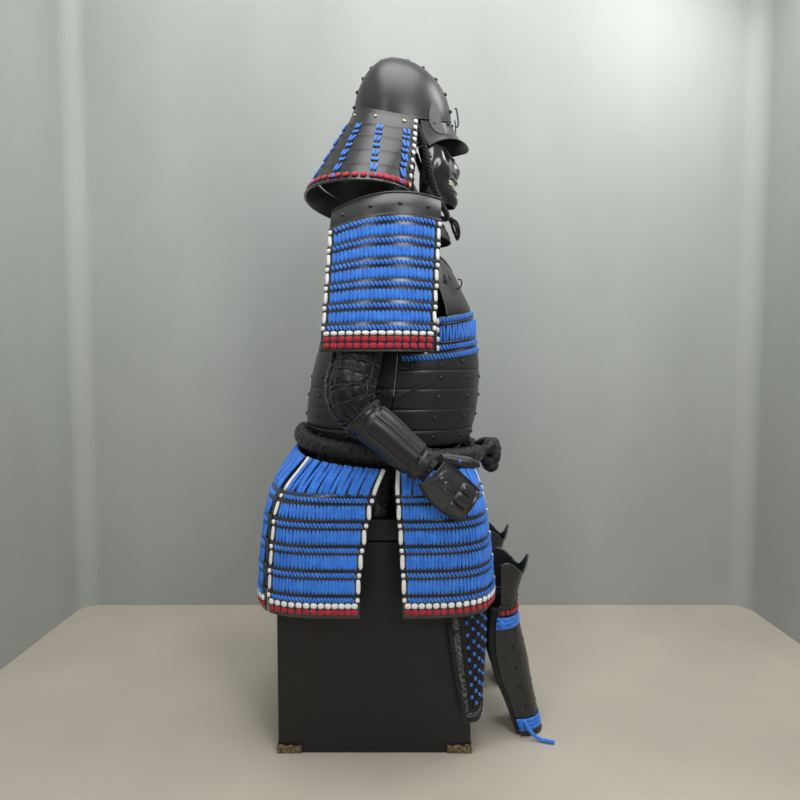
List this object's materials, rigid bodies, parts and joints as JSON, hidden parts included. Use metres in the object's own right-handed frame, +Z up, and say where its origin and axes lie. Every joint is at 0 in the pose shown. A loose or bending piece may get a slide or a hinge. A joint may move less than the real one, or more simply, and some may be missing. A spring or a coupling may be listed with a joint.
{
  "type": "samurai armour on armour box and display stand",
  "caption": "Full black suit of armour with blue lacing, seated on its lacquered box over a plain inner stand, hollow inside the sleeves, skirt and helmet.",
  "frame": {"origin": "centre of the armour box's underside", "axes": "+Z up; the armour faces -Y and its right side is -X"},
  "size_m": [0.6018, 0.6424, 1.5156],
  "materials": {
    "box_lacquer": "black lacquer over wood, semi-gloss, a few fine scratches",
    "bronze": "antique bronze, dull",
    "stand_wood": "plain sanded wood",
    "helmet_lacquer": "black satin lacquer over steel",
    "plate_lacquer": "black satin lacquer over steel",
    "mask_lacquer": "black gloss lacquer over steel",
    "lacing": "royal blue braided lacing over black lames, white edge braid, crimson knots",
    "white_braid": "white braid",
    "crimson_braid": "crimson braid",
    "black_satin": "black quilted satin",
    "sash_crepe": "black textured crepe",
    "black_cord": "black twisted cord",
    "rivet": "pale brass rivets",
    "teeth": "gilt teeth of the mask",
    "brocade": "silver and black brocade edging",
    "lining": "dark blue lining edge"
  },
  "bodies": {
    "root": {"box_body": "box_lacquer", "box_lid": "box_lacquer", "box_corner_1": "bronze", "box_corner_2": "bronze", "box_corner_3": "bronze", "box_corner_4": "bronze", "stand_post": "stand_wood", "stand_crossbar": "stand_wood", "stand_head": "stand_wood", "helmet_bowl": "helmet_lacquer", "helmet_brim": "helmet_lacquer", "neck_guard_lame_1": "plate_lacquer", "neck_guard_lame_2": "plate_lacquer", "neck_guard_lame_3": "plate_lacquer", "neck_guard_lame_4": "plate_lacquer", "neck_guard_lame_5": "plate_lacquer", "chin_cord": "black_cord", "face_mask": "mask_lacquer", "throat_guard": "plate_lacquer", "front_lame_5": "plate_lacquer", "back_lame_4": "plate_lacquer", "front_lame_4": "plate_lacquer", "back_lame_3": "plate_lacquer", "front_lame_3": "plate_lacquer", "back_lame_2": "plate_lacquer", "front_lame_2": "plate_lacquer", "back_lame_1": "plate_lacquer", "front_lame_1": "plate_lacquer", "chest_laced_lame": "plate_lacquer", "chest_plate": "plate_lacquer", "back_plate": "plate_lacquer", "shoulder_strap_right": "black_satin", "shoulder_strap_left": "black_satin", "tasset_1": "lacing", "tasset_2": "lacing", "tasset_3": "lacing", "tasset_4": "lacing", "tasset_5": "lacing", "tasset_6": "lacing", "tasset_7": "lacing", "sash_band": "sash_crepe", "sash_knot": "sash_crepe", "waist_cloth": "black_satin", "sode_right": "lacing", "sode_left": "lacing", "sleeve_right": "black_satin", "sleeve_left": "black_satin", "forearm_guard_right": "plate_lacquer", "forearm_guard_left": "plate_lacquer", "hand_guard_right": "plate_lacquer", "hand_guard_left": "plate_lacquer", "thigh_guard_right": "black_satin", "thigh_guard_left": "black_satin", "shin_guard_right": "plate_lacquer", "shin_guard_left": "plate_lacquer", "knee_guard_right": "plate_lacquer", "knee_guard_left": "plate_lacquer", "shin_tie_right": "lacing", "shin_tie_left": "lacing", "side_tie": "black_cord"}
  },
  "joints": []
}
